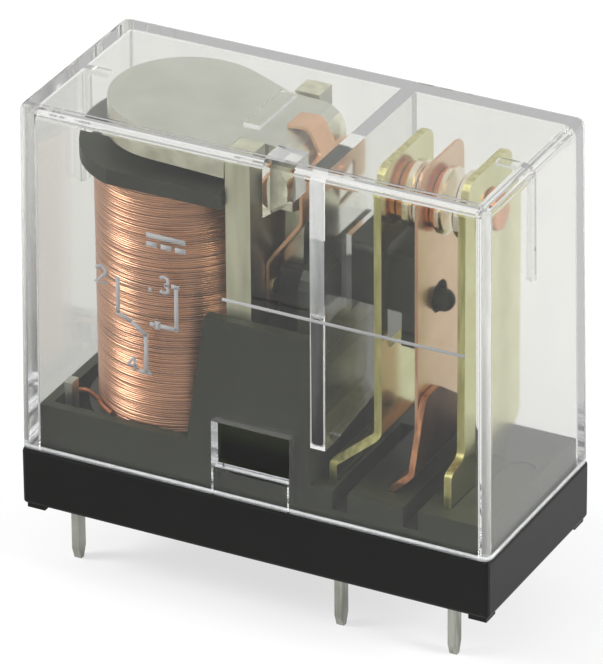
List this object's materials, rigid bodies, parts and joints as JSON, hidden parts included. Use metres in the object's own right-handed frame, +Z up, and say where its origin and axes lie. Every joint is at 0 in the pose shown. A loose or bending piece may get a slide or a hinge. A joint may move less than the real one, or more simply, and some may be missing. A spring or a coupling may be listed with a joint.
{
  "type": "pcb power relay",
  "caption": "Board relay: black base with flat pins, clear clip-on case, upright coil with a rocking armature, and a changeover contact worked by an insulating card.",
  "frame": {"origin": "Centre of the footprint, at the height of the pin tips; the board plane lies 4.0 mm above it.", "axes": "+Z up, away from the board. +X along the body from the coil to the contacts. -Y is the front with the snap window nearest the three front pins."},
  "size_m": [0.0288, 0.0126, 0.0291],
  "materials": {
    "clear_case": "clear moulded plastic",
    "black_base": "moulded black plastic",
    "bobbin_plastic": "moulded black plastic",
    "card_plastic": "moulded black plastic",
    "enamelled_copper": "enamelled copper wire",
    "core_steel": "plated soft iron",
    "yoke_steel": "plated soft iron",
    "armature_steel": "plated soft iron",
    "hinge_copper": "copper alloy strip",
    "blade_brass": "brass strip",
    "spring_copper": "copper alloy strip",
    "common_copper": "dark copper alloy",
    "contact_silver": "silver alloy on a copper shank",
    "tinned_pin": "tinned brass"
  },
  "bodies": {
    "frame": {"case": "clear_case", "base": "black_base", "bobbin": "bobbin_plastic", "winding": "enamelled_copper", "core": "core_steel", "yoke": "yoke_steel", "hinge_spring": "hinge_copper", "nc_terminal": "blade_brass", "nc_contact": "contact_silver", "common_terminal": "common_copper", "no_terminal": "blade_brass", "no_contact": "contact_silver", "coil_pin_front": "tinned_pin", "coil_pin_back": "tinned_pin", "coil_lead_front": "enamelled_copper", "coil_lead_back": "enamelled_copper"},
    "armature": {"armature": "armature_steel", "card": "card_plastic"},
    "moving_contact": {"moving_spring": "spring_copper", "moving_contact_nc_side": "contact_silver", "moving_contact_no_side": "contact_silver"}
  },
  "joints": [
    {"name": "armature_hinge", "type": "hinge", "parent": "frame", "child": "armature", "pos_m": [-0.00055, 0, 0.02657], "axis": [0, -1, 0], "range_deg": [0, 2.12], "stiffness_Nm_per_rad": 0.004, "springref_deg": -17.19, "deforming": ["hinge_spring"]},
    {"name": "moving_contact_flex", "type": "hinge", "parent": "frame", "child": "moving_contact", "pos_m": [0.00839, 0, 0.0149], "axis": [0, 1, 0], "range_deg": [0, 2.85], "stiffness_Nm_per_rad": 0.0005, "deforming": ["moving_spring"]}
  ],
  "couplings": [
    {"joint": "moving_contact_flex", "follows": "armature_hinge", "ratio": 1.33}
  ]
}
